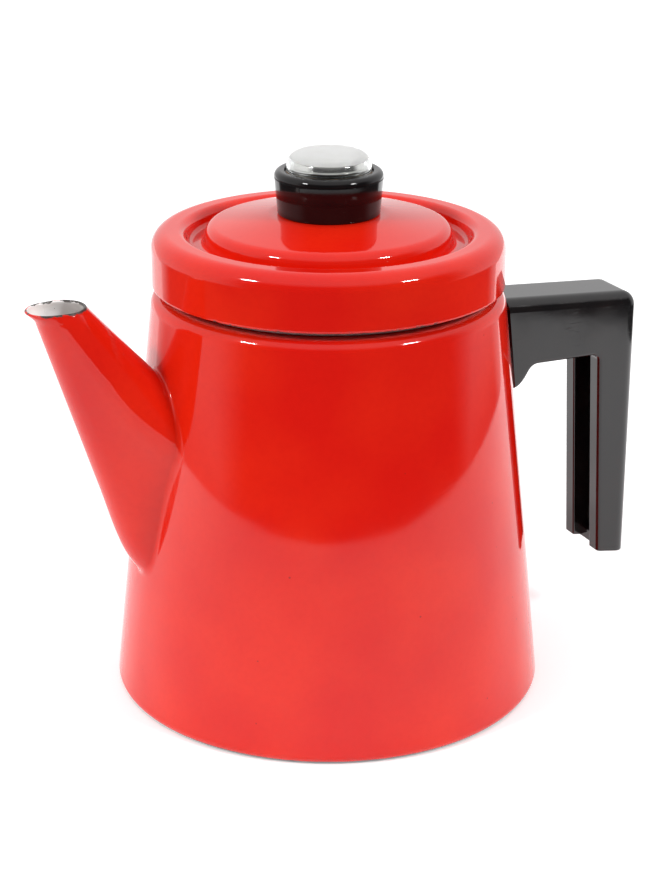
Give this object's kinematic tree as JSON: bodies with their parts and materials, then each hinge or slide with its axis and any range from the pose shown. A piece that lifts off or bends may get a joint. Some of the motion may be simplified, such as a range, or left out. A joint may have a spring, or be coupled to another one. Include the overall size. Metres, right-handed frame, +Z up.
{
  "type": "stovetop coffee percolator",
  "caption": "Conical enamelled coffee pot with a tapered spout, hanging channel handle, lift-off lid with glass-topped knob, and a pump tube with basket inside.",
  "frame": {"origin": "centre of the base, on the surface that the pot stands on", "axes": "+Z up along the pot's axis, +X towards the handle, -X towards the spout"},
  "size_m": [0.2322, 0.1552, 0.196],
  "materials": {
    "red_enamel": "glossy vitreous enamel on sheet steel, orange-red outside, off-white inside",
    "base_enamel": "dark enamel, dulled by the hob",
    "black_bakelite": "polished black phenolic moulding",
    "clear_glass": "clear pressed glass",
    "bright_metal": "bright plated spun metal",
    "plated_steel": "dull zinc plate",
    "aluminium": "satin, spun and pierced, slightly stained by coffee",
    "gasket_rubber": "amber-brown rubber",
    "fibre_washer": "vulcanised fibre"
  },
  "bodies": {
    "pot": {"pot_wall": "red_enamel", "base_plate": "base_enamel", "spout": "red_enamel", "handle_bracket": "red_enamel", "handle": "black_bakelite", "handle_washers": "plated_steel", "handle_screws": "plated_steel"},
    "pump": {"pump_foot": "aluminium", "pump_tube": "aluminium", "basket_stop": "aluminium"},
    "basket": {"coffee_basket": "aluminium", "basket_sleeve": "aluminium"},
    "spreader": {"spreader_plate": "aluminium", "spreader_grip": "aluminium"},
    "lid": {"lid_shell": "red_enamel", "lid_collar": "red_enamel", "knob_ring": "black_bakelite", "viewing_glass": "clear_glass", "glass_ferrule": "bright_metal", "glass_gasket": "gasket_rubber", "ferrule_washer": "fibre_washer", "ferrule_nut": "plated_steel"}
  },
  "joints": [
    {"name": "pump_lift", "type": "slide", "parent": "pot", "child": "pump", "axis": [0, 0, 1], "range_m": [0, 0.16]},
    {"name": "basket_lift", "type": "slide", "parent": "pump", "child": "basket", "axis": [0, 0, 1], "range_m": [0, 0.075]},
    {"name": "spreader_lift", "type": "slide", "parent": "basket", "child": "spreader", "axis": [0, 0, 1], "range_m": [0, 0.03]},
    {"name": "lid_lift", "type": "slide", "parent": "spreader", "child": "lid", "axis": [0, 0, 1], "range_m": [0, 0.08]}
  ]
}
